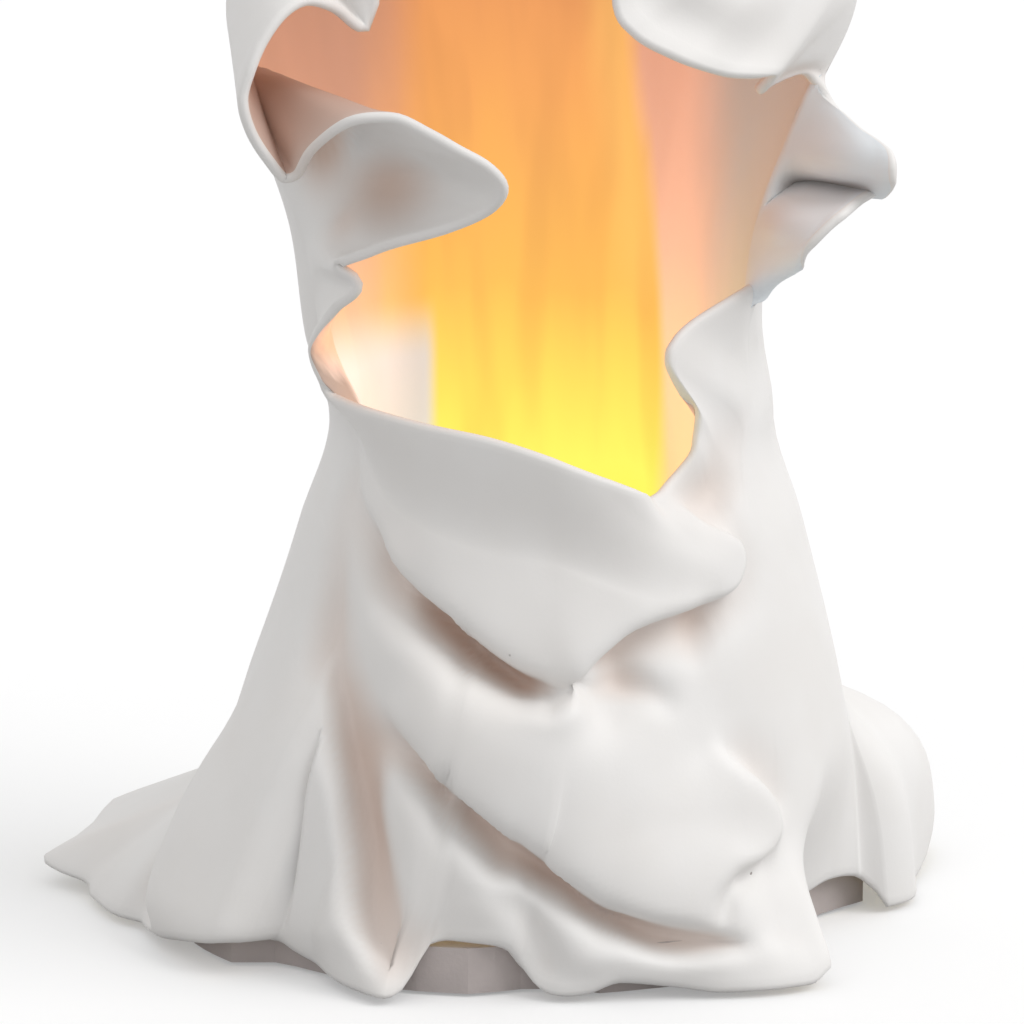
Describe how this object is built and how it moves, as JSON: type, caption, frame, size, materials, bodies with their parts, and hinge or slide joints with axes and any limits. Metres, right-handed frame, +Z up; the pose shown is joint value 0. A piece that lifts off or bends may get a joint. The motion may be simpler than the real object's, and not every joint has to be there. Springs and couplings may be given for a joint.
{
  "type": "light-up ghost statue",
  "caption": "Standing hooded cloak of cast resin with ruffled front edges and a swirling hem, hollow and lit from inside by a battery lamp.",
  "frame": {"origin": "on the ground under the middle of the statue's outline", "axes": "+Z up, -Y towards the viewer at the statue's open front, +X to the viewer's right"},
  "size_m": [0.2704, 0.1846, 0.4428],
  "materials": {
    "resin": "matte white cast resin with fine pinholes",
    "black_plastic": "moulded matte black",
    "white_plastic": "moulded satin white",
    "frosted_plastic": "frosted warm white",
    "rubber": "soft matte black",
    "steel": "zinc-plated",
    "cell_sleeve": "shrink sleeve",
    "circuit_board": "green lacquer",
    "bulb": "clear amber epoxy",
    "red_lead": "soft insulation",
    "black_lead": "soft insulation"
  },
  "bodies": {
    "statue": {"cloak_shell": "resin", "base_plate": "resin", "foot_1": "rubber", "foot_2": "rubber", "foot_3": "rubber", "foot_4": "rubber", "battery_box": "black_plastic", "hinge_pin": "steel", "box_screw_1": "steel", "box_screw_2": "steel", "box_screw_3": "steel", "box_screw_4": "steel", "riser_screw_1": "steel", "riser_screw_2": "steel", "battery_1": "cell_sleeve", "battery_2": "cell_sleeve", "battery_3": "cell_sleeve", "contact_1": "steel", "contact_2": "steel", "contact_3": "steel", "spring_1": "steel", "spring_2": "steel", "spring_3": "steel", "switch_body": "steel", "lamp_riser": "white_plastic", "light_board": "circuit_board", "bulb_1": "bulb", "bulb_2": "bulb", "bulb_3": "bulb", "lamp_dome": "frosted_plastic", "dome_ring": "white_plastic", "timer_board": "circuit_board", "timer_chip": "black_plastic", "capacitor": "black_plastic", "black_lead": "black_lead", "red_lead": "red_lead"},
    "door": {"battery_door": "black_plastic"},
    "door_fastener": {"door_screw": "steel"},
    "slider": {"switch_slider": "white_plastic"}
  },
  "joints": [
    {"name": "door_hinge", "type": "hinge", "parent": "statue", "child": "door", "pos_m": [0.012, -0.0281, 0.0035], "axis": [-1, 0, 0], "range_deg": [0, 90]},
    {"name": "door_screw_turn", "type": "hinge", "parent": "door", "child": "door_fastener", "pos_m": [0.012, 0.0349, 0], "axis": [0, 0, 1], "continuous": true},
    {"name": "switch_slide", "type": "slide", "parent": "statue", "child": "slider", "axis": [0, 1, 0], "range_m": [-0.0025, 0.0025]}
  ]
}
